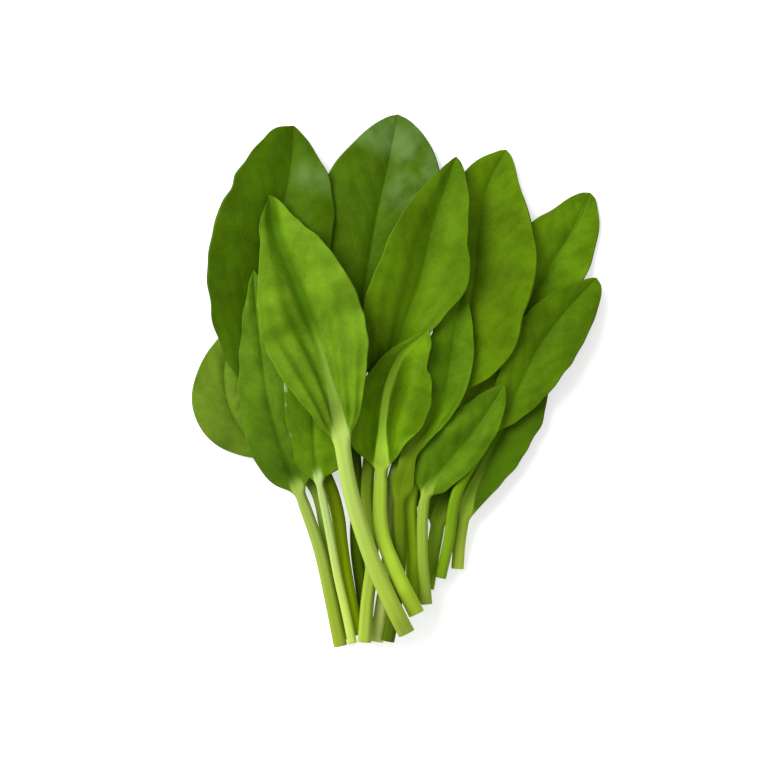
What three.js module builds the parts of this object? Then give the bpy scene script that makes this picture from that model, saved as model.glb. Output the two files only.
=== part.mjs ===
// A bunch of young swiss chard leaves lying on its side, stalks together and blades fanned out.
//
// Every leaf is one solid: a stalk that runs on as the midrib of a thin blade folded along it.
// The leaves are laid one after another on a growing heap. Each follows its own route in plan
// and is raised just enough to clear the leaves already lying there.
// Millimetres, +Z up. Stalks point to -Y, blade tips to +Y, and the heap rests on Z = 0.

import * as THREE from 'three';

// ---- Driving dimensions ---------------------------------------------------------------------

const BLADE_THICKNESS = 0.9;
const LEAF_GAP = 1.1;          // air between a leaf and the heap below it
const MIDRIB_TIP_RADIUS = 0.4; // half width of the midrib where it fades out
const STALK_FLATNESS = 0.86;   // height of a stalk's section over its width
const STALK_GROOVE = 0.18;     // depth of the groove along its top, in stalk radii
const KEEL_DEPTH = 0.95;       // how far the midrib stands out below the blade, in its radii
const STALK_ROWS = 12;
const BLADE_ROWS = 20;
const TIP_CROWDING = 0.8;      // how much closer the rows come together towards a tip
const HEAP_CELL = 0.7;         // cell of the height map that the leaves are laid on
const HEAP_REACH = 200;        // half the side of that map
const LAYING_ROUNDS = 80;
const LAYING_STEP = 0.35;      // share of a missing height that one round makes up
const LAYING_TOLERANCE = 0.1;
const ROD_BEND = 36;           // a stalk or midrib gives way over this far each way
const BLADE_BEND = 18;         // and half of a blade over this far

// Greens, from the palest young blade to the darkest old one.
const PALE = 0x7fa838;
const FRESH = 0x5d8a22;
const DEEP = 0x3c6010;
const DUSTY = 0x587a34;

// The leaves, lowest first.
//   route    where the midrib runs in plan, from the cut end of the stalk to the tip
//   neck     length of bare stalk before the blade begins
//   left, right   greatest width of that half of the blade, how far along it that is, and how
//            gradually it narrows to the tip, where that isn't the leaf's point
//   leftLobe, rightLobe   more width on that half: how much, where, and how far each way
//   fold     how steeply the left and right halves rise from the midrib, in degrees
//   stalk    radius at the cut end and at the neck
//   base, point   how gradually the blade widens at its base and narrows at its tip
//   arch, curl   how far the blade's middle arches up, and how far its tip lifts
const LEAVES = [
  { name: 'leaf_right_lowest', tone: DEEP, neck: 34, stalk: [3.6, 3.8], arch: 0, curl: 1,
    route: [[16.6, -112], [20.4, -88], [27, -60], [43, -43], [60, -24], [72, 0], [78, 20]],
    left: [27, 0.4], right: [14, 0.55], fold: [8, 8], base: 0.8 },
  { name: 'leaf_right_lower', tone: DEEP, neck: 26, stalk: [3.3, 3.4], arch: 0, curl: 1,
    route: [[32.7, -101.3], [34, -84], [38.5, -63], [49, -42], [62, -18], [70, 2], [73, 24]],
    left: [18, 0.5], right: [14.6, 0.57], fold: [10, 16], base: 0.85 },
  { name: 'leaf_right_upper', tone: FRESH, neck: 96, stalk: [4, 4.3], arch: 5, curl: 0,
    route: [[9.5, -120], [9, -96], [8.2, -57], [28, -28], [54, 14], [72, 46], [86, 66], [97, 84],
      [104, 100]],
    left: [24, 0.6], right: [19, 0.62], fold: [10, 10], point: 0.6 },
  { name: 'leaf_right_side', tone: FRESH, neck: 78, stalk: [3, 3], arch: 3, curl: 1,
    route: [[23.5, -105.8], [27.8, -86], [32, -61], [47, -33], [64, -7], [76, 17], [91, 37],
      [107, 54]],
    left: [15, 0.55], right: [17.5, 0.6, 0.5], fold: [14, 16] },
  { name: 'leaf_left_side', tone: PALE, neck: 100, stalk: [3, 2.6], arch: 5, curl: 0,
    route: [[-27, -139], [-33, -110], [-38, -84], [-43.5, -60], [-54, -48], [-67, -40],
      [-79, -31], [-89, -15], [-92, 2], [-90, 18], [-86, 34]],
    left: [17.6, 0.48, 1.4], right: [22, 0.45], fold: [14, 8], base: 2.3 },
  { name: 'leaf_back_middle', tone: FRESH, neck: 128, stalk: [3.6, 3], arch: 9, curl: 0,
    route: [[-14, -139.5], [-18, -115], [-21.5, -88], [-21, -62], [-23, -20], [-21, 20],
      [-16, 54], [-11, 84], [-5, 112], [1, 142]],
    left: [30.5, 0.66, 0.7], right: [33, 0.7], fold: [12, 10], point: 0.64 },
  { name: 'leaf_back_left', tone: DEEP, neck: 138, stalk: [3.6, 3.6], arch: 8, curl: 0,
    route: [[-20.5, -136], [-24.5, -118], [-28.7, -94], [-32.6, -66], [-43, -42], [-62, -18], [-73, 6],
      [-75, 28], [-69, 62], [-60, 95], [-56, 118], [-55, 136]],
    left: [30, 0.58, 0.38], right: [29.5, 0.62, 0.95], fold: [24, 14], base: 0.95, point: 0.66 },
  { name: 'leaf_low_right', tone: FRESH, neck: 58, stalk: [3, 2.9], arch: 0, curl: 0,
    route: [[16, -119.5], [13.8, -92], [15.8, -61], [26, -46], [38, -32], [48, -18], [57, -3]],
    left: [15, 0.4, 0.7], right: [10, 0.5, 0.7], fold: [8, 14], base: 0.5 },
  { name: 'leaf_back_right', tone: FRESH, neck: 126, stalk: [3.6, 3], arch: 4, curl: 1,
    route: [[-10.6, -139.5], [-7.6, -119], [-4.6, -98], [-3.4, -62], [4, -36], [19.5, -7],
      [33, 20], [41, 52], [44, 84], [50, 106], [59, 123]],
    left: [22, 0.63, 0.75], right: [31, 0.58, 0.7], rightLobe: [7, 0.26, 0.2],
    fold: [10, 14] },
  { name: 'leaf_low_middle', tone: FRESH, neck: 74, stalk: [3.6, 3.2], arch: 0, curl: 0,
    route: [[-4.7, -138.8], [0.5, -112], [1.8, -88], [2, -60], [4.8, -48], [10, -34], [18, -22],
      [25, -8], [29, 12], [32, 34], [35, 50]],
    left: [15, 0.5], leftLobe: [3, 0.1, 0.1], right: [10.5, 0.68], rightLobe: [5, 0.1, 0.1],
    fold: [10, 20], base: 3 },
  { name: 'leaf_left', tone: DUSTY, neck: 84, stalk: [3.6, 3.1], arch: 3, curl: 0,
    route: [[-29.9, -142], [-35, -117], [-41, -91], [-50, -65], [-60, -39], [-68, -10], [-72, 16],
      [-75, 40], [-76, 58]],
    left: [14.5, 0.27], right: [20, 0.38], fold: [10, 6], base: 0.75, point: 0.9 },
  { name: 'leaf_left_inner', tone: FRESH, neck: 87, stalk: [2.4, 2.2], arch: 0, curl: 0,
    route: [[-23.5, -140], [-27, -123], [-31.5, -103], [-35, -84], [-38.5, -66], [-42, -49],
      [-44, -25], [-44, 0], [-45, 25], [-46, 45]],
    left: [14.5, 0.62], right: [20, 0.3], fold: [2, -4], base: 0.5 },
  { name: 'leaf_centre', tone: FRESH, neck: 104, stalk: [3.6, 3.4], arch: 3, curl: 1,
    route: [[-17, -139], [-15.5, -118], [-13, -98], [-14, -78], [-15.7, -58], [-10, -18],
      [3, 26], [13, 54], [19, 80], [32, 119]],
    left: [23, 0.5, 0.9], right: [20, 0.64], rightLobe: [4, 0.6, 0.14], fold: [34, 30],
    base: 2.6, point: 0.7 },
  { name: 'leaf_front_middle', tone: PALE, neck: 80, stalk: [4.3, 3.6], arch: 0, curl: -2,
    route: [[10.5, -124], [0, -102], [-8, -80], [-8, -45], [-7, -20], [-3, 0], [4, 14], [17, 26]],
    left: [15, 0.26, 1.8], right: [20.5, 0.5], fold: [44, 34], base: 1.1 },
  { name: 'leaf_front_left', tone: PALE, neck: 98, stalk: [4.5, 4.1], arch: 3, curl: 3,
    route: [[5.3, -134.3], [-3.2, -117], [-13.3, -94], [-24.5, -58], [-32, -15], [-42, 20],
      [-54, 52], [-64, 76], [-68, 98]],
    left: [24.5, 0.5, 1.55], leftLobe: [3, 0.92, 0.08], right: [26.5, 0.53, 0.72],
    fold: [36, 34], base: 1.4 },
];

const BASE_SHAPE = 1.3;        // how gradually a blade widens at its base, unless it says
const POINT_SHAPE = 0.8;      // and how gradually it narrows to its tip
const CROWN = 0.5;             // how far each half bends back down towards its margin

// ---- The leaf's sections --------------------------------------------------------------------

// Columns across a leaf, from its left margin over the midrib to its right margin.
const COLUMNS = [3, 2, 1, 0, -1, -2, -3];
const STALK_SPREAD = [0, 0.5, 0.87, 1];     // the columns on a round stalk, in radii
const BLADE_SPREAD = [0, 0, 0.5, 1];        // and past the midrib, in widths of a blade's half

const degrees = Math.PI / 180;
const mix = (a, b, t) => a + (b - a) * t;
const smooth = (t) => THREE.MathUtils.smoothstep(t, 0, 1);

// Width of one half of the blade at a share of its length: it swells from nothing at the neck
// to its greatest width as a power of a sine, and runs to the tip as a power of a cosine.
function halfWidth(share, [width, widest, ownPoint], base, point) {
  const quarter = Math.PI / 2;
  if (share <= widest) return width * Math.sin(quarter * share / widest) ** base;
  const fall = Math.max(0, Math.cos(quarter * (share - widest) / (1 - widest)));
  return width * fall ** (ownPoint ?? point);
}

// The width that a lobe adds there: a rounded hump about its middle, and none beyond its reach.
function lobeWidth(share, [more, middle, reach] = [0, 0, 1]) {
  const off = Math.min(1, Math.abs(share - middle) / reach);
  return more * Math.cos(off * Math.PI / 2) ** 2;
}

// The rows of a leaf in plan, with each column's place and its height over the midrib's centre.
function rowsOf(leaf) {
  const route = new THREE.CatmullRomCurve3(
    leaf.route.map(([x, y]) => new THREE.Vector3(x, y, 0)), false, 'centripetal');
  route.arcLengthDivisions = 400;
  const length = route.getLength();
  const blade = length - leaf.neck;
  const rows = [];
  for (let i = 0; i < STALK_ROWS + BLADE_ROWS; i += 1) {
    const inBlade = Math.max(0, i - STALK_ROWS + 1) / BLADE_ROWS;
    const share = mix(inBlade, Math.sin(inBlade * Math.PI / 2), TIP_CROWDING);
    const along = i < STALK_ROWS ? leaf.neck * i / (STALK_ROWS - 1) : leaf.neck + blade * share;
    const at = route.getPointAt(Math.min(1, along / length));
    const ahead = route.getTangentAt(Math.min(1, along / length));
    rows.push({ at, side: new THREE.Vector3(-ahead.y, ahead.x, 0), share, along,
      ...section(leaf, along, share) });
  }
  return rows;
}

// One section: offsets of the seven columns to the left, and the heights of its top and bottom.
function section(leaf, along, share) {
  const [foot, neck] = leaf.stalk;
  const radius = along < leaf.neck
    ? mix(foot, neck, along / leaf.neck)
    : mix(neck, MIDRIB_TIP_RADIUS, share);
  const [base, point] = [leaf.base ?? BASE_SHAPE, leaf.point ?? POINT_SHAPE];
  const halves = [
    halfWidth(share, leaf.left, base, point) + lobeWidth(share, leaf.leftLobe),
    halfWidth(share, leaf.right, base, point) + lobeWidth(share, leaf.rightLobe)];
  const opened = smooth(Math.max(...halves) / (2 * radius));   // 0 on the stalk, 1 on the blade
  const round = radius * STALK_FLATNESS;
  const offsets = [], top = [], bottom = [];
  for (const column of COLUMNS) {
    const step = Math.abs(column);
    const width = column > 0 ? halves[0] : halves[1];
    const angle = (column > 0 ? leaf.fold[0] : leaf.fold[1]) * degrees;
    const out = BLADE_SPREAD[step];
    const flesh = Math.min(1, step) * radius + out * width;
    offsets.push(Math.sign(column) * mix(STALK_SPREAD[step] * radius, flesh, opened));
    const arc = round * Math.sqrt(Math.max(0, 1 - STALK_SPREAD[step] ** 2));
    const groove = step === 0 ? STALK_GROOVE * radius : 0;
    const rise = width * Math.tan(angle) * (out - CROWN * out * out) + 0.35 * radius;
    const onMargin = step === 3;
    top.push(mix(arc - groove, rise - groove * 2, opened));
    const keel = step === 0 ? -KEEL_DEPTH * radius : rise - BLADE_THICKNESS;
    bottom.push(onMargin ? top.at(-1) : mix(-arc, keel, opened));
  }
  return { offsets, top, bottom, opened };
}

// ---- Laying the leaves on the heap ----------------------------------------------------------

const HEAP_SIDE = Math.ceil(2 * HEAP_REACH / HEAP_CELL);
const heap = new Float32Array(HEAP_SIDE * HEAP_SIDE).fill(-LEAF_GAP);
const cellOf = (v) => Math.floor((v + HEAP_REACH) / HEAP_CELL);
const heapAt = (x, y) => heap[cellOf(y) * HEAP_SIDE + cellOf(x)];

function raiseHeap(x, y, z) {
  const column = cellOf(x), row = cellOf(y);
  for (let j = row - 1; j <= row + 1; j += 1) {
    for (let i = column - 1; i <= column + 1; i += 1) {
      const cell = j * HEAP_SIDE + i;
      if (z > heap[cell]) heap[cell] = z;
    }
  }
}

// Calls visit(x, y, height, weights) at points spread over one face of a leaf, top or bottom.
function sweep(rows, face, lift, visit) {
  for (let i = 0; i + 1 < rows.length; i += 1) {
    const [a, b] = [rows[i], rows[i + 1]];
    const steps = Math.ceil((b.along - a.along) / (HEAP_CELL * 0.8));
    for (let k = 0; k + 1 < COLUMNS.length; k += 1) {
      const wide = Math.max(a.offsets[k] - a.offsets[k + 1], b.offsets[k] - b.offsets[k + 1]);
      const across = Math.ceil(wide / (HEAP_CELL * 0.8));
      for (let p = 0; p <= steps; p += 1) {
        for (let q = 0; q <= across; q += 1) {
          const s = p / steps, t = q / across;
          const corners = [[i, k, (1 - s) * (1 - t)], [i, k + 1, (1 - s) * t],
            [i + 1, k, s * (1 - t)], [i + 1, k + 1, s * t]];
          let x = 0, y = 0, z = 0;
          for (const [row, column, weight] of corners) {
            const r = rows[row];
            x += weight * (r.at.x + r.side.x * r.offsets[column]);
            y += weight * (r.at.y + r.side.y * r.offsets[column]);
            z += weight * (r[face][column] + lift[row][column]);
          }
          visit(x, y, z, corners);
        }
      }
    }
  }
}

// Lifts for every row and column of a leaf, so that its underside clears the heap. The midrib
// and stalk lift as one stiff rod, and the blade's halves bend up where something is beneath.
function layOnHeap(rows, arch, curl) {
  const lift = rows.map(({ share }) => COLUMNS.map(
    () => arch * Math.sin(Math.PI * share) ** 2 + curl * share * share));
  for (let round = 0; round < LAYING_ROUNDS; round += 1) {
    const need = rows.map(() => COLUMNS.map(() => 0));
    let worst = 0;
    sweep(rows, 'bottom', lift, (x, y, z, corners) => {
      const short = heapAt(x, y) + LEAF_GAP - z;
      if (short <= LAYING_TOLERANCE) return;
      worst = Math.max(worst, short);
      const grip = corners.reduce((sum, [, , weight]) => sum + weight * weight, 0);
      for (const [row, column, weight] of corners) {
        need[row][column] = Math.max(need[row][column], LAYING_STEP * short * weight / grip);
      }
    });
    if (worst === 0) return lift;
    raise(rows, lift, need);
    bridge(rows, lift);
  }
  return lift;
}

// Adds the needed lifts, passed on along the leaf as smooth bumps: the midrib with the stalk as
// one stiff rod, and the halves on their own, where the middle of a half follows its margin.
function raise(rows, lift, need) {
  const rods = need.map((row, i) => Math.max(...row.slice(2, 5),
    (1 - rows[i].opened) * Math.max(...row)));
  rows.forEach((row, i) => {
    const rod = passedOn(rows, i, ROD_BEND, (j) => rods[j]);
    COLUMNS.forEach((column, k) => {
      const own = Math.abs(column) > 1
        ? row.opened * passedOn(rows, i, BLADE_BEND, (j) => need[j][k] * rows[j].opened) : 0;
      lift[i][k] += Math.max(rod, own);
    });
    for (const k of [1, 5]) {
      lift[i][k] = Math.max(lift[i][k], (lift[i][k - 1] + lift[i][k + 1]) / 2);
    }
  });
}

// A stalk is stiff: it bridges straight over any dip between two higher places along it.
function bridge(rows, lift) {
  for (let i = 1; i < STALK_ROWS; i += 1) {
    for (let a = 0; a < i; a += 1) {
      for (let b = i + 1; b <= STALK_ROWS; b += 1) {
        const share = (rows[i].along - rows[a].along) / (rows[b].along - rows[a].along);
        const level = mix(lift[a][3], lift[b][3], share);
        if (level > lift[i][3]) lift[i] = lift[i].map((height) => Math.max(height, level));
      }
    }
  }
}

// The greatest need near row i, where a need fades as a squared cosine over the reach.
function passedOn(rows, i, reach, needAt) {
  let most = 0;
  rows.forEach((row, j) => {
    const gap = Math.abs(row.along - rows[i].along) / reach;
    if (gap < 1) most = Math.max(most, needAt(j) * Math.cos(gap * Math.PI / 2) ** 2);
  });
  return most;
}

// ---- The solid ------------------------------------------------------------------------------

// Joins the rows into one closed body: a flat cut end, the skin, and the tip as a single point.
function leafGeometry(rows, lift) {
  const skin = rows.slice(0, -1);
  const points = [];
  const put = (row, column, height) => {
    const offset = row.offsets[column];
    points.push(row.at.x + row.side.x * offset, row.at.y + row.side.y * offset, height);
  };
  skin.forEach((row, i) => {
    for (let k = 0; k < COLUMNS.length; k += 1) put(row, k, row.top[k] + lift[i][k]);
    for (let k = COLUMNS.length - 2; k > 0; k -= 1) put(row, k, row.bottom[k] + lift[i][k]);
  });
  const ring = 2 * COLUMNS.length - 2;
  const middle = (COLUMNS.length - 1) / 2;
  const foot = points.length / 3;
  put(skin[0], middle, (skin[0].top[middle] + skin[0].bottom[middle]) / 2 + lift[0][middle]);
  const tip = foot + 1;
  const end = rows.at(-1);
  put(end, middle, end.top[middle] + lift.at(-1)[middle]);
  const faces = [];
  for (let k = 0; k < ring; k += 1) {
    const next = (k + 1) % ring;
    faces.push(foot, next, k);
    for (let i = 0; i + 1 < skin.length; i += 1) {
      const a = i * ring + k, b = i * ring + next;
      faces.push(a, b, b + ring, a, b + ring, a + ring);
    }
    const far = (skin.length - 1) * ring;
    faces.push(far + k, far + next, tip);
  }
  const geometry = new THREE.BufferGeometry();
  geometry.setAttribute('position', new THREE.Float32BufferAttribute(points, 3));
  geometry.setIndex(faces);
  geometry.computeVertexNormals();
  return geometry;
}

function makeLeaf(leaf) {
  const rows = rowsOf(leaf);
  const lift = layOnHeap(rows, leaf.arch, leaf.curl);
  sweep(rows, 'top', lift, raiseHeap);
  const material = new THREE.MeshStandardMaterial(
    { color: leaf.tone, roughness: 0.55, metalness: 0, side: THREE.DoubleSide });
  const mesh = new THREE.Mesh(leafGeometry(rows, lift), material);
  mesh.name = leaf.name;
  return mesh;
}

// ---- The bunch ------------------------------------------------------------------------------

const bunch = new THREE.Group();
LEAVES.forEach((leaf) => bunch.add(makeLeaf(leaf)));

const box = new THREE.Box3().setFromObject(bunch);
const centre = box.getCenter(new THREE.Vector3());
bunch.position.set(-centre.x, -centre.y, -box.min.z);

export default bunch;
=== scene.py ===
"""A bunch of young swiss chard leaves, lying on a pale floor under a large soft window light.

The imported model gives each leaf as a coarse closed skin: rings of twelve points strung along its
stalk and midrib. Each ring is found again here, and a fine leaf is drawn through them, with
thin blade halves, veins, a quilted surface, a waved margin and a grooved stalk.
"""

import math
import zlib

import bmesh
import bpy
import numpy as np
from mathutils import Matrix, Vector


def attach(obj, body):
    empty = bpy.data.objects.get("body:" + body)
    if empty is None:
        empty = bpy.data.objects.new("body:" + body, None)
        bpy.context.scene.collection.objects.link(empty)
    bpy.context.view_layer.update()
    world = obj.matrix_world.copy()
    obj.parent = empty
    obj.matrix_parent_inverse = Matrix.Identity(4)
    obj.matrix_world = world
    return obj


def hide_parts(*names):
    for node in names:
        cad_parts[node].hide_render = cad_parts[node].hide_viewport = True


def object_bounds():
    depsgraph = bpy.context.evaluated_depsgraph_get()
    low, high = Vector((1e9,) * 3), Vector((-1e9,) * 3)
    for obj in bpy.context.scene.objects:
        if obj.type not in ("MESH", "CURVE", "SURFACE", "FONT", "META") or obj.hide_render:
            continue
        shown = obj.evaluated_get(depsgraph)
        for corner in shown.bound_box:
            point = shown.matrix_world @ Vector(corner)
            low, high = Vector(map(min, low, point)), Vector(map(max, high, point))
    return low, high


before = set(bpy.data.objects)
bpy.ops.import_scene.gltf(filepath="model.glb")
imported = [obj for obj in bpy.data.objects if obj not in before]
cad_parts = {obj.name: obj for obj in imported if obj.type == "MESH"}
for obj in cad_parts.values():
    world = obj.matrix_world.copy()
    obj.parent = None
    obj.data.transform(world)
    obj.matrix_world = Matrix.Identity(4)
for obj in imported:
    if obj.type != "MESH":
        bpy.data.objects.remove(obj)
built_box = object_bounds()

MM = 0.001
SMALLEST = 1e-6                # keeps divisions by a length away from 0

# ---- The grid of a leaf ---------------------------------------------------------------------

RING = 12                      # points in each built ring: seven over the top, five below
TOP = [0, 1, 2, 3, 4, 5, 6]    # left margin, over the midrib, right margin
BELOW = [0, 11, 10, 9, 8, 7, 6]
RIB = 3                        # the midrib's place among those seven
SAME_POINT = 0.002 * MM        # corners of the built triangles that are closer are one point

ROW_STEPS = 5                  # fine rows between two built rings
ACROSS_STEPS = [12, 10, 5, 5, 10, 12]   # fine columns between two built points
RIB_COLUMN = sum(ACROSS_STEPS[:RIB])    # the midrib's place among the fine columns

# ---- The shape that the leaves share --------------------------------------------------------

STALK_RATIO = 2.05             # width over the near-rib points' distance, on a stalk
OPENING_RATIO = 1.5            # how much more it is where the blade has opened
NECK_OPENING = 0.1             # how far the blade has opened where along and share are 0
GROOVE_FILL = 0.24             # how much of the near-rib half distance evens out a stalk's groove
BLADE_THICKNESS = 0.45 * MM

WANDER_SIZE = 17 * MM          # about how long the uneven stretches of a margin are
MARGINS_APART = 180 * MM       # between where the left and the right margin read their field
OUTLINE_FADE = 0.06            # share of the blade, at its tip, over which that fades out
MOST_INWARD = -0.3             # the furthest that a margin moves in, in widths of its half

PLAIN_STALK = 0.75             # share of the stalk whose width its pale body has; kept above it
RIDGE_TAPER = (-0.05, 0.25)    # shares of the blade over which the pale body narrows; it has
                               # already begun to on the stalk, where the share is 0
RIDGE_EDGE = 0.4               # how softly it turns green, in its own half widths
GREEN_OPENING = 0.15           # how far the blade has opened where the green beside it is full

VEIN_SPACING = 13 * MM         # between two side veins, along the midrib
VEIN_SLANT = 1.2               # how far a side vein runs forward for each unit outwards
VEIN_SWEEP = 9.0               # how much more it bends forward, per metre outwards squared
VEIN_WIDTH = 1.8 * MM
VEIN_WOBBLE = 0.2              # how far a vein strays, in spacings
WOBBLE_SIZE = 30 * MM

RELIEF_BASE, RELIEF_TIP = 0.08, 0.9     # shares of the blade between which its relief is full
SWELL_SIZE, SWELL = 34 * MM, 0.45       # size and height of its slow uneven swells
PUCKER_SIZE, PUCKER = 11 * MM, 0.12     # and of its small ones
FLAT_RIB = 5 * MM              # distance from the midrib at which these and pleats are full
FLAT_MARGIN = 0.35             # and distance from the margin, in widths of the half
PLEATS_ACROSS = 2.6            # pleats from the midrib to the margin
PLEAT_SWAY, SWAY_LENGTH = 0.25, 18 * MM   # how far they sway, in pleats, and over what length
PLEATS_FADE = (0.75, 0.25)     # share of the blade above which there are none, and full below
CREASE_REACH = 6 * MM          # how far from the midrib its fold still dips
CREASE_BEGINS = (0.25, 0.55)   # shares of the blade over which the fold's dip begins
WAVE_LENGTH = 31 * MM          # of the margin's waves
SIDES_OUT_OF_STEP = 2.1        # radians between the waves of the two margins

CUT_SIZES = np.array([0.35, 0.7, 0.9, 0.975])        # rings of the cut end, over the stalk's own
CUT_HEIGHTS = np.array([0.1, 0.2, 0.3, 0.25]) * MM   # and how far they stand out
CUT_SHOWS = np.array([1, 1, 1, 0.6])                 # how much of the cut's colour they have

# ---- The colours that the leaves share ------------------------------------------------------

GLOSS = 0.035                  # of a leaf's skin, as the shader's specular level
# Painted shade: the deeper green laid along the midrib's fold on the upper blade, where the fold
# is shaded
FOLD_SHADE_GREEN = "3E6600"
# Painted sheen: a grey standing in for the window's soft reflection on the waxy skin
SHEEN_GREY = "6F8F4E"
MARGIN_SPOT_PALE = "C8DE9A"
UNDERSIDE_GREEN = "62812E"
CUT_WHITE = "D5DEA8"
STREAKS_ACROSS, STREAKS_ALONG = 1400, 22   # how many of a stalk's streaks there are to a metre

FLOOR_GLOW = 0.5               # light that the floor adds where it is seen
FLOOR_GAP = 0.1 * MM           # between the bunch and the floor


# ---- The built rings ------------------------------------------------------------------------

def built_rings(node):
    """The rings of a built leaf as an array (ring, point, xyz), from its foot, and its tip.

    The built skin is a stack of rings with a single point closing each end, so those two points
    are the only ones with a whole ring of neighbours. From the lower one, the stalk's foot, each
    ring leads to the next: a point and the one before it in the ring share one neighbour there.
    """
    mesh = bmesh.new()
    mesh.from_mesh(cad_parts[node].data)
    bmesh.ops.remove_doubles(mesh, verts=mesh.verts, dist=SAME_POINT)
    mesh.verts.ensure_lookup_table()
    place = np.array([v.co[:] for v in mesh.verts])
    joined = np.zeros((len(place), len(place)), bool)
    pairs = np.array([[v.index for v in e.verts] for e in mesh.edges])
    mesh.free()
    joined[pairs[:, 0], pairs[:, 1]] = True
    joined[pairs[:, 1], pairs[:, 0]] = True

    ends = np.flatnonzero(joined.sum(axis=1) == RING)
    foot, tip = ends[np.argsort(place[ends, 1])]
    ring = in_order(joined, np.flatnonzero(joined[foot]))
    passed = np.zeros(len(place), bool)
    passed[foot] = True
    ahead = np.flatnonzero(joined[ring].any(axis=0) & ~joined[foot] & ~passed)
    forward = place[ahead].mean(axis=0) - place[foot]
    spokes = place[ring] - place[foot]
    turning = np.cross(spokes, np.roll(spokes, -1, axis=0)).sum(axis=0)
    if turning @ forward < 0:
        ring = ring[::-1]

    rings = [ring]
    while not joined[ring, tip].all():
        passed[ring] = True
        onward = joined[ring] & ~passed
        shared = onward & np.roll(onward, 1, axis=0)
        ring = shared.argmax(axis=1)
        rings.append(ring)
    return from_left_margin(place[np.array(rings)]), place[tip]


def in_order(joined, ring):
    """The points of a ring in the order in which they follow each other round it."""
    order = [ring[0]]
    left = set(ring[1:].tolist())
    while left:
        after = next(k for k in np.flatnonzero(joined[order[-1]]).tolist() if k in left)
        order.append(after)
        left.remove(after)
    return np.array(order)


def from_left_margin(points):
    """The rings turned so that point 0 is the left margin and points 1 to 5 lie over the top.

    The margins are the two opposite points that are furthest apart, summed over the rings. Of
    the two ways round, the one whose first half is higher starts at the left margin.
    """
    half = RING // 2
    spread = np.linalg.norm(points - np.roll(points, -half, axis=1), axis=2).sum(axis=0)
    turned = np.roll(points, -int(spread[:half].argmax()), axis=1)
    if turned[:, 1:half, 2].mean() < turned[:, half + 1:, 2].mean():
        turned = np.roll(turned, -half, axis=1)
    return turned


# ---- Curves and grids -----------------------------------------------------------------------

def smooth(x):
    """0 below 0, 1 above 1, and 3x^2 - 2x^3 between."""
    x = np.clip(x, 0, 1)
    return x * x * (3 - 2 * x)


def between(x, low, high):
    """0 at low and 1 at high, with a soft rise between. Low may be the greater of the two."""
    return smooth((x - low) / (high - low))


def lengths(vectors):
    """The length of each vector, kept as a last axis of one, and never quite 0."""
    return np.maximum(np.linalg.norm(vectors, axis=-1, keepdims=True), 1e-7)


def through(points, steps, ends=None):
    """Smooth curves through points (knot, curve, xyz), with steps[k] pieces after knot k.

    Between two knots the curve is the cubic that meets both with the slope there of the parabola
    through the knot and its two neighbours, where a knot's parameter is the chord length up to it.
    The slopes at the two ends follow the first and last chord, unless ends gives them.
    """
    chord = lengths(np.diff(points, axis=0))
    slope = np.diff(points, axis=0) / chord
    inner = (slope[:-1] * chord[1:] + slope[1:] * chord[:-1]) / (chord[1:] + chord[:-1])
    first, last = ends or (slope[0], slope[-1])
    tangent = np.concatenate([first[None], inner, last[None]])
    piece = np.repeat(np.arange(len(steps)), steps)
    share = np.concatenate([np.arange(n) / n for n in steps])
    piece, share = np.append(piece, len(steps) - 1), np.append(share, 1.0)
    t = share[:, None, None]
    a, b, h = points[piece], points[piece + 1], chord[piece]
    return (a * (2 * t**3 - 3 * t**2 + 1) + b * (3 * t**2 - 2 * t**3)
            + tangent[piece] * h * (t**3 - 2 * t**2 + t) + tangent[piece + 1] * h * (t**3 - t**2))


def normals_of(grid):
    """Unit normals of a grid of points: the cross product of its two directions."""
    along, across = np.gradient(grid, axis=0), np.gradient(grid, axis=1)
    normal = np.cross(across, along)
    return normal / np.maximum(np.linalg.norm(normal, axis=2, keepdims=True), 1e-12)


def ripple(along, across, size, draw, waves=7):
    """A smooth random field about -1 to 1: a sum of sines whose waves run in all directions."""
    total = np.zeros_like(along)
    for _ in range(waves):
        heading = draw.uniform(0, math.tau)
        length = size * draw.uniform(0.7, 1.5)
        shift = draw.uniform(0, math.tau)
        run = along * math.cos(heading) + across * math.sin(heading)
        total += np.sin(math.tau * run / length + shift)
    return total / math.sqrt(waves)


# ---- One leaf -------------------------------------------------------------------------------

def half_between(face, first, last):
    """Half the distance between two columns of a face, in each of its rows."""
    return np.linalg.norm(face[:, first] - face[:, last], axis=1) / 2


def fine_rows(node):
    """A built leaf's top and underside (row, point, xyz), with ROW_STEPS rows from one ring to
    the next, and how far the blade has opened in each row, 0 on the stalk to 1.

    The opening follows the row's width over the distance of the two points beside its midrib.
    The midrib of a stalk's top is raised a little, which leaves its groove shallow.
    """
    rings, tip = built_rings(node)
    ends = np.repeat(tip[None, None], len(TOP), axis=1)
    top = np.concatenate([rings[:, TOP], ends])
    below = np.concatenate([rings[:, BELOW], ends])

    half_width, core = half_between(top, 0, -1), half_between(top, RIB - 1, RIB + 1)
    ratio = 2 * half_width / np.maximum(2 * core, SMALLEST)
    opened = smooth((ratio - STALK_RATIO) / OPENING_RATIO)
    opened[-1] = 1
    top[:, RIB, 2] += GROOVE_FILL * core * (1 - opened)

    steps = [ROW_STEPS] * (len(top) - 1)
    opened = np.interp(np.arange(sum(steps) + 1), np.arange(len(opened)) * ROW_STEPS, opened)
    return through(top, steps), through(below, steps), opened


def fine_columns(face, other, opened):
    """One face's fine columns. On a stalk its two edges start at right angles to the section's
    width, so that the two faces meet in a round, and on a blade they run straight out."""
    chords = np.diff(face, axis=1)
    slopes = chords / lengths(chords)
    apart = face[:, [1, -2]] - other[:, [1, -2]]
    upright = apart / lengths(apart)
    share = opened[:, None]
    ends = (slopes[:, 0] * share + upright[:, 0] * (1 - share),
            slopes[:, -1] * share - upright[:, 1] * (1 - share))
    return through(face.swapaxes(0, 1), ACROSS_STEPS, ends).swapaxes(0, 1)


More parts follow.
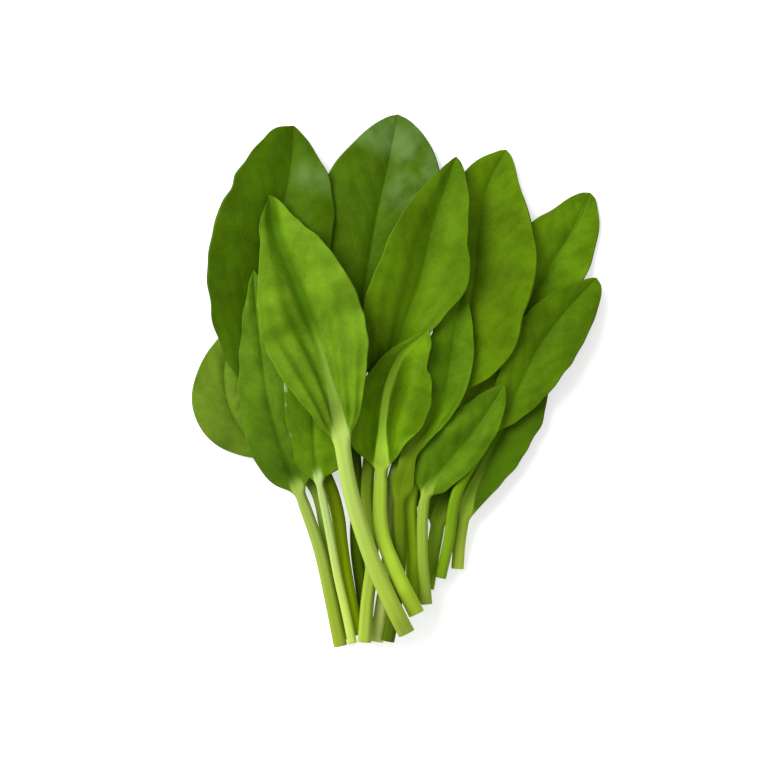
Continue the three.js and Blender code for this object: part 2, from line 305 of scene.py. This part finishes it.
class Leaf:
    """The fine grid of one leaf, top and underside, with what its finish reads at each point.

    along    distance along the midrib from where the blade begins, negative on the stalk
    across   distance from the midrib, positive to the left
    share    0 to 1 along the blade
    edge     0 on the midrib to 1 at the margin
    blade    0 on the stalk to 1 where the blade has opened
    vein     the side veins' phase: a whole number on each vein
    stem     0 at the cut end to 1 where the blade begins
    green    0 over the stalk and the midrib's body, 1 clear of them on the blade
    """

    def __init__(self, node, shape):
        draw = np.random.default_rng(zlib.crc32(node.encode()))
        top, below, opened = fine_rows(node)
        keel, core = below[:, RIB] - top[:, RIB], half_between(top, RIB - 1, RIB + 1)
        top, below = fine_columns(top, below, opened), fine_columns(below, top, opened)

        away, side = self.measure(top, opened)
        stretch = self.outline(away, side, draw, shape)
        middle = top[:, RIB_COLUMN:RIB_COLUMN + 1]
        top = middle + (top - middle) * stretch[..., None]
        away = away * stretch
        self.across = away * side
        self.green = self.beside_ridge(half_between(top, 0, -1), away, opened, shape["ridge"])
        self.vein = self.vein_phase(away, side, draw)

        normal = normals_of(top)
        hanging = smooth(1 - away / np.maximum(core, SMALLEST)[:, None])
        below = self.thinned(top, below, normal, hanging, keel)
        lift = self.relief(draw, shape)[..., None]
        self.top, self.below = top + normal * lift, below + normal * lift
        sunk = np.maximum(-self.below[..., 2], 0)
        self.top[..., 2] += sunk
        self.below[..., 2] += sunk

    def measure(self, top, opened):
        """Sets along, share, stem, edge and blade, and gives each point's distance from the
        midrib, and 1 for the columns left of the midrib and -1 for the others."""
        columns = top.shape[1]
        step = np.linalg.norm(np.diff(top[:, RIB_COLUMN], axis=0), axis=1)
        run = np.concatenate([[0], np.cumsum(step)])
        neck = run[np.argmax(opened > NECK_OPENING)]
        side = np.where(np.arange(columns) < RIB_COLUMN, 1, -1)
        away = np.linalg.norm(top - top[:, RIB_COLUMN:RIB_COLUMN + 1], axis=2)

        self.blade = np.repeat(np.clip(opened, 0, 1)[:, None], columns, axis=1)
        self.along = np.repeat((run - neck)[:, None], columns, axis=1)
        self.share = np.clip(self.along / (run[-1] - neck), 0, 1)
        self.stem = np.clip(1 + self.along / neck, 0, 1)
        self.edge = np.clip(away / self.reach(away, side), 0, 1)
        return away, side

    @staticmethod
    def reach(away, side):
        """How far from the midrib the margin is, on each point's own side of it."""
        return np.maximum(np.where(side > 0, away[:, :1], away[:, -1:]), SMALLEST)

    def outline(self, away, side, draw, shape):
        """How many times further from the midrib each point goes: 1, and the square of edge
        times the margin's random wander and its added fullness over its distance."""
        wander = ripple(self.along, MARGINS_APART / 2 * side, WANDER_SIZE, draw)
        outward = wander * shape["ragged"] * MM + shape["fuller"] * MM
        outward = outward * self.blade * between(self.share, 1, 1 - OUTLINE_FADE)
        return 1 + self.edge**2 * np.maximum(outward / self.reach(away, side), MOST_INWARD)

    def beside_ridge(self, half_width, away, opened, ridge):
        """0 over the leaf's pale body to 1 clear of it. The body is as wide as the stalk, keeps
        its width from PLAIN_STALK on, and narrows to the ridge's share of it on the blade."""
        plain_row = int(PLAIN_STALK * np.argmax(opened > 0.02))
        body = half_width[np.minimum(np.arange(len(half_width)), plain_row)]
        body = body[:, None] * (1 - (1 - ridge) * between(self.share, *RIDGE_TAPER))
        clear = between(away / body, 1, 1 + RIDGE_EDGE)
        return clear * between(self.blade, 0, GREEN_OPENING)

    def vein_phase(self, away, side, draw):
        """The place where a slanted, swept line through each point meets the midrib, in vein
        spacings, with a random wobble. The left half is half a spacing out of step."""
        forward = self.along - VEIN_SLANT * away - VEIN_SWEEP * away**2
        wobble = ripple(self.along, self.across, WOBBLE_SIZE, draw) * VEIN_WOBBLE
        return forward / VEIN_SPACING + np.where(side > 0, 0.5, 0.0) + wobble

    def thinned(self, top, below, normal, near_rib, keel):
        """The underside: as built on the stalk, and on the blade a thin sheet that sharpens
        towards the margin, with the midrib's keel hanging below it."""
        sheet = normal * (BLADE_THICKNESS * np.sqrt(1 - self.edge**6))[..., None]
        hanging = near_rib[..., None] * keel[:, None]
        opened = self.blade[..., None]
        return below * (1 - opened) + (top - sheet + hanging) * opened

    def relief(self, draw, shape):
        """Height added along the normal: a low cushion between each two veins, with slow and
        small uneven swells, pleats that run lengthwise and converge at the blade's base, a dip
        along the midrib of the upper blade, waves that grow towards the margin as edge^4, and a
        curl of the right half that grows as edge^2."""
        away = np.abs(self.across)
        open_blade = (self.blade * between(self.share, 0, RELIEF_BASE)
                      * between(self.share, 1, RELIEF_TIP))
        inside = between(away, 0, FLAT_RIB) * between(self.edge, 1, 1 - FLAT_MARGIN)
        cushion = 0.25 - 0.25 * np.cos(math.tau * self.vein)
        swell = ripple(self.along, self.across, SWELL_SIZE, draw)
        pucker = ripple(self.along, self.across, PUCKER_SIZE, draw)
        height = shape["quilt"] * inside * (cushion + SWELL * swell + PUCKER * pucker)

        sway = PLEAT_SWAY * np.sin(self.along / SWAY_LENGTH)
        fan = self.edge * PLEATS_ACROSS + sway + draw.uniform(0, 1)
        pleats = np.sin(math.tau * fan) * between(self.share, *PLEATS_FADE)
        height += shape["pleats"] * inside * pleats

        dip = np.exp(-(away / CREASE_REACH)**2) * between(self.share, *CREASE_BEGINS)
        height -= shape["crease"] * dip

        step = np.where(self.across > 0, 0.0, SIDES_OUT_OF_STEP)
        turn = math.tau * self.along / WAVE_LENGTH + step + draw.uniform(0, math.tau)
        flutter = np.sin(turn) + 0.5 * np.sin(2.3 * turn + 1.0)
        height += shape["waves"] * self.edge**4 * flutter
        height += shape["curl"] * self.edge**2 * (self.across < 0)
        return height * open_blade * MM


def leaf_object(name, node, finish, shape):
    """A leaf as one closed mesh: each row's ring runs over the top and back below, a cap of
    shrinking rings closes the cut end, and the tip closes in one point."""
    leaf = Leaf(node, shape)
    top, below = leaf.top[:-1], leaf.below[:-1]
    ring = np.concatenate([top, below[:, -2:0:-1]], axis=1)
    values = {key: over_and_under(getattr(leaf, key)[:-1])
              for key in ("along", "across", "share", "edge", "vein", "blade", "stem", "green")}
    under = np.zeros(ring.shape[:2])
    under[:, top.shape[1]:] = 1
    under[:, top.shape[1] - 1] = under[:, 0] = 0.5
    values["under"] = under * values["blade"]
    values["cut"] = np.zeros(ring.shape[:2])

    ring, values = with_cut_end(ring, values)
    rows, around = ring.shape[:2]
    middle = ring[0].mean(axis=0)
    points = np.concatenate([ring.reshape(-1, 3), [middle, leaf.top[-1, 0]]])
    foot, tip = rows * around, rows * around + 1
    index = np.arange(rows * around).reshape(rows, around)
    nxt = np.roll(index, -1, axis=1)
    quads = np.stack([index[:-1], nxt[:-1], nxt[1:], index[1:]], axis=-1).reshape(-1, 4)
    cap = np.stack([np.full(around, foot), nxt[0], index[0]], axis=-1)
    point = np.stack([index[-1], nxt[-1], np.full(around, tip)], axis=-1)

    mesh = bpy.data.meshes.new(name)
    mesh.from_pydata(points.tolist(), [], quads.tolist() + cap.tolist() + point.tolist())
    mesh.polygons.foreach_set("use_smooth", np.ones(len(mesh.polygons), bool))
    for key, value in values.items():
        data = np.append(value.reshape(-1), [value[0].mean(), value[-1].mean()])
        layer = mesh.attributes.new(key, "FLOAT", "POINT")
        layer.data.foreach_set("value", data.astype(np.float32))
    mesh.update()
    obj = bpy.data.objects.new(name, mesh)
    bpy.context.collection.objects.link(obj)
    obj.data.materials.append(finish)
    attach(obj, "root")
    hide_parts(node)


def over_and_under(value):
    """A value on the grid's columns carried on to the ring that runs back below them."""
    return np.concatenate([value, value[:, -2:0:-1]], axis=1)


def with_cut_end(ring, values):
    """Rings that close the cut end, ahead of the others: the first ring shrunk towards its
    middle and moved out along the stalk, which rounds the rim and leaves the middle lower."""
    middle = ring[0].mean(axis=0)
    axis = ring[0].mean(axis=0) - ring[3].mean(axis=0)
    axis /= np.linalg.norm(axis)
    sizes, heights = CUT_SIZES[:, None, None], CUT_HEIGHTS[:, None, None]
    cap = middle + (ring[0] - middle) * sizes + axis * heights
    added = len(CUT_SIZES)
    full = {key: np.concatenate([np.repeat(value[:1], added, axis=0), value])
            for key, value in values.items()}
    full["cut"][:added] = CUT_SHOWS[:, None]
    full["across"][:added] *= CUT_SIZES[:, None]
    return np.concatenate([cap, ring]), full


# ---- Shader maths ---------------------------------------------------------------------------

class Value:
    """A number that varies over a surface. Sums and products on it add Math nodes."""

    def __init__(self, shader, socket):
        self.shader, self.socket = shader, socket

    def math(self, operation, other=None, swap=False):
        inputs = [self, other] if other is not None else [self]
        if swap:
            inputs.reverse()
        return self.shader.value("ShaderNodeMath", {"operation": operation},
                                 dict(enumerate(inputs)))

    def __add__(self, other): return self.math("ADD", other)
    def __radd__(self, other): return self.math("ADD", other, swap=True)
    def __sub__(self, other): return self.math("SUBTRACT", other)
    def __rsub__(self, other): return self.math("SUBTRACT", other, swap=True)
    def __mul__(self, other): return self.math("MULTIPLY", other)
    def __rmul__(self, other): return self.math("MULTIPLY", other, swap=True)
    def __truediv__(self, other): return self.math("DIVIDE", other)
    def __rtruediv__(self, other): return self.math("DIVIDE", other, swap=True)

    def between(self, low, high):
        """0 at low and 1 at high, with a soft rise between."""
        settings = {"interpolation_type": "SMOOTHSTEP"}
        return self.shader.value("ShaderNodeMapRange", settings, {0: self, 1: low, 2: high})


class Shader:
    """The node tree of a new material or world, with ways to add nodes and to mix colours."""

    def __init__(self, name, kind="materials"):
        self.owner = getattr(bpy.data, kind).new(name)
        self.owner.use_nodes = True
        self.nodes = self.owner.node_tree.nodes
        self.links = self.owner.node_tree.links
        self.nodes.clear()

    def node(self, kind, settings, inputs):
        """Adds a node: its settings first, then the value or link of each named input."""
        made = self.nodes.new(kind)
        for key, setting in settings.items():
            setattr(made, key, setting)
        for key, given in inputs.items():
            socket = made.inputs[key]
            if isinstance(given, Value):
                self.links.new(given.socket, socket)
            elif isinstance(given, bpy.types.NodeSocket):
                self.links.new(given, socket)
            else:
                socket.default_value = given
        return made

    def value(self, kind, settings, inputs, output=0):
        """Adds a node and gives the number that one of its outputs carries."""
        return Value(self, self.node(kind, settings, inputs).outputs[output])

    def read(self, name):
        """The number that the mesh carries at each point under this name."""
        return self.value("ShaderNodeAttribute", {"attribute_name": name}, {}, output="Fac")

    def noise(self, scale, detail=3.0, roughness=0.55):
        """Soft random spots in the piece's own space, with about this many to a metre."""
        place = self.node("ShaderNodeTexCoord", {}, {}).outputs["Object"]
        inputs = {"Vector": place, "Scale": scale, "Detail": detail, "Roughness": roughness}
        return self.value("ShaderNodeTexNoise", {}, inputs)

    def cells(self, scale):
        """The distance to the walls of small cells, with about this many to a metre."""
        place = self.node("ShaderNodeTexCoord", {}, {}).outputs["Object"]
        return self.value("ShaderNodeTexVoronoi", {"feature": "DISTANCE_TO_EDGE"},
                          {"Vector": place, "Scale": scale})

    def in_view(self):
        """1 where a camera, glossy or transmission ray looks, and 0 for the rays that light."""
        path = self.node("ShaderNodeLightPath", {}, {})
        camera, glossy, through_glass = (
            Value(self, path.outputs[f"Is {kind} Ray"])
            for kind in ("Camera", "Glossy", "Transmission"))
        return (camera + glossy + through_glass).math("MINIMUM", 1.0)

    def mix(self, amount, first, second):
        """The colour first, turning to second as amount goes from 0 to 1."""
        made = self.node("ShaderNodeMix", {"data_type": "RGBA"},
                         {0: amount, 6: first, 7: second})
        return made.outputs[2]


def srgb(code):
    """A colour from its six hex digits, in the linear light that shaders use."""
    parts = [int(code[k:k + 2], 16) / 255 for k in (0, 2, 4)]
    return [*(p / 12.92 if p <= 0.04045 else ((p + 0.055) / 1.055) ** 2.4 for p in parts), 1.0]


# ---- Finishes -------------------------------------------------------------------------------

def scaled(colour, by):
    """A linear colour made lighter or darker."""
    return [*(part * by for part in colour[:3]), 1.0]


def leaf_finish(name, look):
    """A leaf's skin: green blade, and a pale stalk that runs into the midrib as far as the look's
    reach, with a duller underside and a whitish cut end. Veins and cells are slightly sunk,
    specks raised and the stalk's streaks sunk."""
    s = Shader(name)
    share, open_blade, under = s.read("share"), s.read("blade"), s.read("under")
    speck = s.noise(450.0, 2.0).between(0.3, 0.75)
    on_net = (1 - s.cells(300.0).between(0.0, 0.16)) * open_blade
    on_vein = veins(s) * open_blade
    streaks = lengthwise_streaks(s)

    blade = blade_colour(s, look, speck, on_net, on_vein)
    midrib = s.mix(share.between(0.25 * look["reach"], look["reach"]),
                   stalk_colour(s, look, streaks), blade)
    colour = s.mix(s.read("green"), midrib, blade)
    colour = s.mix(under * 0.5, colour, srgb(UNDERSIDE_GREEN))
    colour = s.mix(s.read("cut"), colour, srgb(CUT_WHITE))

    height = (on_vein * -0.15 + on_net * -0.12 + speck * 0.1) * open_blade - streaks * 0.2
    bump = s.node("ShaderNodeBump", {}, {"Strength": 0.3, "Distance": 0.5 * MM,
                                         "Height": height})
    skin = s.node("ShaderNodeBsdfPrincipled", {}, {
        "Base Color": colour, "Roughness": 0.52 + speck * 0.08 + under * 0.12,
        "Normal": bump.outputs[0], "Specular IOR Level": GLOSS})
    s.node("ShaderNodeOutputMaterial", {}, {"Surface": skin.outputs[0]})
    return s.owner


def blade_colour(s, look, speck, on_net, on_vein):
    """The blade's green, mottled 20 percent lighter and darker, with darker specks, lighter cell
    walls, veins and margin, painted shade of a deeper green in its fold, a painted grey sheen and
    bright spots just inside the left margin."""
    leaf, edge = srgb(look["leaf"]), s.read("edge")
    across, share = s.read("across"), s.read("share")
    mottle = (s.noise(24.0) + s.noise(75.0)).between(0.75, 1.25)
    # Painted shade: darker green near the midrib on the upper blade, standing in for the fold's
    # shading
    fold = 1 - (across.math("ABSOLUTE") / CREASE_REACH).between(0.1, 1.0)
    fold = fold * share.between(0.25, 0.6)

    green = s.mix(mottle, scaled(leaf, 0.8), scaled(leaf, 1.2))
    green = s.mix(speck * 0.1, green, scaled(leaf, 0.4))
    green = s.mix(on_net * 0.05, green, scaled(leaf, 2.0))
    green = s.mix(on_vein * 0.1, green, scaled(leaf, 1.8))
    green = s.mix(fold * look["fold"], green, srgb(FOLD_SHADE_GREEN))
    green = s.mix(edge.between(0.94, 1.0) * 0.15, green, scaled(leaf, 1.8))
    green = s.mix(painted_sheen(s, look, across, share), green, srgb(SHEEN_GREY))
    return s.mix(margin_spots(s, look, across, share, edge), green, srgb(MARGIN_SPOT_PALE))


def stalk_colour(s, look, streaks):
    """The stalk's colour at its cut end turning to that at its neck, darker in its streaks, with
    some of the midrib's in it, which takes over on the blade. The midrib's is halfway between
    the neck's, as bright as the look says, and a lighter green than the blade's."""
    leaf, stalk, neck = srgb(look["leaf"]), srgb(look["stalk"]), srgb(look["neck"])
    midrib = [(n * look["pale"] + g * 1.3) / 2 for n, g in zip(neck, leaf)]
    rod = s.mix(s.read("stem").between(0.1, 0.85), stalk, neck)
    rod = s.mix(streaks * 0.25, rod, scaled(neck, 0.6))
    return s.mix(s.read("share").between(-0.07, 0.13), rod, [*midrib[:3], 1.0])


def veins(s):
    """1 on the side veins, where the vein's phase is a whole number, and 0 from VEIN_WIDTH away,
    fading towards the margin."""
    vein = s.read("vein")
    off = (vein - vein.math("ROUND")).math("ABSOLUTE") * (VEIN_SPACING / VEIN_WIDTH)
    return (1 - off.between(0.0, 1.0)) * (1 - s.read("edge").between(0.4, 0.9))


def painted_sheen(s, look, across, share):
    """Painted grey sheen in patches, standing in for the window's reflection, on the right half,
    which faces the light, from the look's share of the blade on. Near the tip there is as much of
    it on both halves as the look gives the tip."""
    right_half, near_tip = across.between(2 * MM, -8 * MM), share.between(0.8, 0.92)
    sheen_zone = right_half + near_tip * (look["tip"] - right_half)
    patches = s.noise(38.0, 4.0).between(0.36, 0.6)
    return patches * sheen_zone * share.between(look["sheen_zone"], look["sheen_zone"] + 0.1) * look["painted_sheen"]


def margin_spots(s, look, across, share, edge):
    """Bright spots in short stretches just inside the left margin, above the blade's base."""
    spots = s.noise(95.0, 1.0).between(0.5, 0.6) * edge.between(0.84, 0.95)
    return spots * across.between(0.0, 1 * MM) * share.between(0.2, 0.3) * look["margin_spots"]


def lengthwise_streaks(s):
    """Fine lengthwise ribs on a stalk: noise that changes quickly across it and slowly along."""
    vector = s.node("ShaderNodeCombineXYZ", {},
                    {0: s.read("across") * STREAKS_ACROSS,
                     1: s.read("along") * STREAKS_ALONG, 2: 0.0})
    inputs = {"Vector": vector.outputs[0], "Scale": 1.0, "Detail": 2.0, "Roughness": 0.5}
    return s.value("ShaderNodeTexNoise", {}, inputs).between(0.35, 0.7)


def floor_finish():
    """A plain white floor that shows white to the camera and keeps the shadows cast on it."""
    s = Shader("floor_white")
    plain = s.node("ShaderNodeBsdfDiffuse", {}, {"Color": srgb("F7F7F7")})
    glow = s.node("ShaderNodeEmission", {}, {"Color": srgb("FFFFFF"), "Strength": FLOOR_GLOW})
    none = s.node("ShaderNodeEmission", {}, {"Strength": 0.0})
    extra = s.node("ShaderNodeMixShader", {},
                   {0: s.in_view(), 1: none.outputs[0], 2: glow.outputs[0]})
    both = s.node("ShaderNodeAddShader", {}, {0: plain.outputs[0], 1: extra.outputs[0]})
    s.node("ShaderNodeOutputMaterial", {}, {"Surface": both.outputs[0]})
    return s.owner


# ---- The bunch ------------------------------------------------------------------------------

def leaf_look(leaf, stalk, neck, reach, pale=0.8, fold=0.25, painted_sheen=0.0, sheen_zone=0.6, tip=0.0,
              margin_spots=0.0):
    """A leaf's colours, for its blade and for its stalk at the cut end and at the neck, how far up
    the blade its midrib stays pale and how bright it is beside the neck, how much painted shade
    deepens the green in its fold, how much painted grey sheen it has on its right half and from
    where on the blade, how much of that is on its tip, and how many bright spots lie just inside
    its left margin."""
    return dict(leaf=leaf, stalk=stalk, neck=neck, reach=reach, pale=pale, fold=fold,
                painted_sheen=painted_sheen, sheen_zone=sheen_zone, tip=tip, margin_spots=margin_spots)


def leaf_shape(waves=0.6, quilt=0.6, pleats=0.0, crease=0.3, ragged=0.4, fuller=0.0, curl=0.0,
               ridge=0.4):
    """How far, in mm, a leaf's margin waves, its blade swells and pleats, the fold along its
    upper midrib dips, its outline wanders, its blade is wider all round and its right margin
    curls up, and the share of the stalk's width that its pale midrib keeps."""
    return dict(waves=waves, quilt=quilt, pleats=pleats, crease=crease, ragged=ragged,
                fuller=fuller, curl=curl, ridge=ridge)


# Painted light and shade: the stalk, neck and midrib colours differ from leaf to leaf partly to
# stand in for light, brighter on stalks that lie in shade and darker on stalks painted as in
# shadow
LEAVES = {
    "leaf_right_lowest": (
        leaf_look("4C6F06", "7FA014", "9CC02C", 0.2),
        leaf_shape(waves=0.2, quilt=0.3)),
    # Painted light: this stalk is painted brighter for the shade it lies in
    "leaf_right_lower": (
        leaf_look("4C6F06", "CCE450", "A6C83C", 0.4),
        leaf_shape(waves=0.2, quilt=0.3, crease=0.1)),
    "leaf_right_upper": (
        leaf_look("61870A", "A4CC1C", "AED82C", 0.04, pale=0.4),
        leaf_shape()),
    # Painted light: this stalk and neck are painted brighter for the shade they lie in
    "leaf_right_side": (
        leaf_look("537406", "8FB622", "709812", 0.2),
        leaf_shape()),
    "leaf_left_side": (
        leaf_look("66841E", "A9C650", "8AAA38", 0.3, fold=0.0),
        leaf_shape(waves=0.7, crease=0.0)),
    "leaf_back_middle": (
        leaf_look("4C6C08", "567406", "4E6C04", 0.2, fold=0.15, painted_sheen=0.7, sheen_zone=0.6, tip=1.0),
        leaf_shape(quilt=0.4, crease=0.15)),
    "leaf_back_left": (
        leaf_look("446302", "B8D20C", "34520A", 0.2, fold=0.1, painted_sheen=0.6, sheen_zone=0.74),
        leaf_shape(waves=0.9, quilt=0.4, pleats=0.1, crease=0.2, ragged=0.7)),
    "leaf_low_right": (
        leaf_look("5A7F0E", "A3BD42", "A6C446", 0.2),
        leaf_shape(waves=0.5, quilt=0.5)),
    # Painted light: the near-white stalk is painted bright for the shade it lies in
    "leaf_back_right": (
        leaf_look("5E8006", "F0FA8C", "6C8A14", 0.1),
        leaf_shape(waves=0.7, quilt=0.7, curl=1.2)),
    # Painted shade: the dark stalk is painted as lying in shadow
    "leaf_low_middle": (
        leaf_look("5A810A", "48580C", "6E8A14", 0.4),
        leaf_shape(waves=0.7, quilt=0.3, pleats=0.2, ragged=0.2, curl=2.0)),
    "leaf_left": (
        leaf_look("5B8014", "A6BC34", "B0C85C", 0.08, pale=0.4, fold=0.1),
        leaf_shape(waves=0.5, quilt=0.5, crease=0.1)),
    "leaf_left_inner": (
        leaf_look("5F840D", "E6FA66", "D0E88D", 0.08, pale=0.4, fold=0.0, margin_spots=0.6),
        leaf_shape(waves=0.5, quilt=0.4, crease=0.0)),
    "leaf_centre": (
        leaf_look("587A07", "BFD852", "7E9C14", 0.2),
        leaf_shape(waves=0.5, quilt=0.3, pleats=0.4, crease=0.6, curl=2.2)),
    # Painted light: pale=2.9 paints the shaded midrib brighter
    "leaf_front_middle": (
        leaf_look("668C0C", "A6C02E", "A0C03C", 0.95, pale=2.9, fold=0.0),
        leaf_shape(waves=0.5, quilt=0.3, pleats=0.5, crease=0.0, fuller=1.6, curl=2.0,
                   ridge=0.45)),
    "leaf_front_left": (
        leaf_look("6A9017", "B4CC40", "C6E26C", 0.5, pale=0.5, fold=0.75),
        leaf_shape(quilt=0.3, pleats=1.2, crease=1.8, curl=1.0, ridge=0.35)),
}
for node, (look, shape) in LEAVES.items():
    name = node.replace("leaf_", "chard_")
    leaf_object(name, node, leaf_finish(name, look), shape)


# ---- Floor, light and camera ----------------------------------------------------------------

def make_floor(size=8.0):
    """A flat square just under the bunch."""
    half, low = size / 2, built_box[0][2] - FLOOR_GAP
    corners = [(-half, -half, low), (half, -half, low), (half, half, low), (-half, half, low)]
    mesh = bpy.data.meshes.new("floor")
    mesh.from_pydata(corners, [], [(0, 1, 2, 3)])
    floor = bpy.data.objects.new("floor", mesh)
    bpy.context.collection.objects.link(floor)
    mesh.materials.append(floor_finish())


def area_light(name, place, size, power):
    """A square soft light at a place, facing the middle of the bunch."""
    lamp = bpy.data.lights.new(name, "AREA")
    lamp.size, lamp.energy = size, power
    obj = bpy.data.objects.new(name, lamp)
    obj.location = place
    turn = math.atan2(place[1], place[0])
    tilt = math.acos(place[2] / np.linalg.norm(place))
    obj.rotation_euler = (0, tilt, turn)
    bpy.context.collection.objects.link(obj)


def make_world(strength=0.47):
    """Even white light from all round, and white where the eye or a reflection meets it."""
    s = Shader("studio", "worlds")
    light = s.node("ShaderNodeBackground", {}, {"Color": srgb("FFFFFF"), "Strength": strength})
    white = s.node("ShaderNodeBackground", {}, {"Color": srgb("FFFFFF"), "Strength": 1.0})
    either = s.node("ShaderNodeMixShader", {},
                    {0: s.in_view(), 1: light.outputs[0], 2: white.outputs[0]})
    s.node("ShaderNodeOutputWorld", {}, {"Surface": either.outputs[0]})
    bpy.context.scene.world = s.owner


def make_camera(height=1.3, frame_width=0.405, aside=(-8.0 * MM, -1.2 * MM)):
    """A camera straight above the bunch and a little aside, whose picture is frame_width wide
    at the middle of the bunch's height."""
    low, high = np.array(built_box)
    middle = (low + high) / 2
    lens = bpy.data.cameras.new("camera")
    lens.sensor_width = 36
    lens.lens = lens.sensor_width * (height - middle[2]) / frame_width
    lens.clip_end = 50
    camera = bpy.data.objects.new("camera", lens)
    camera.location = (middle[0] + aside[0], middle[1] + aside[1], height)
    bpy.context.collection.objects.link(camera)
    bpy.context.scene.camera = camera


make_floor()
make_world()
area_light("window", place=(-1.35, 0.95, 1.3), size=1.9, power=50)
make_camera()
bpy.context.scene.view_settings.view_transform = "Standard"
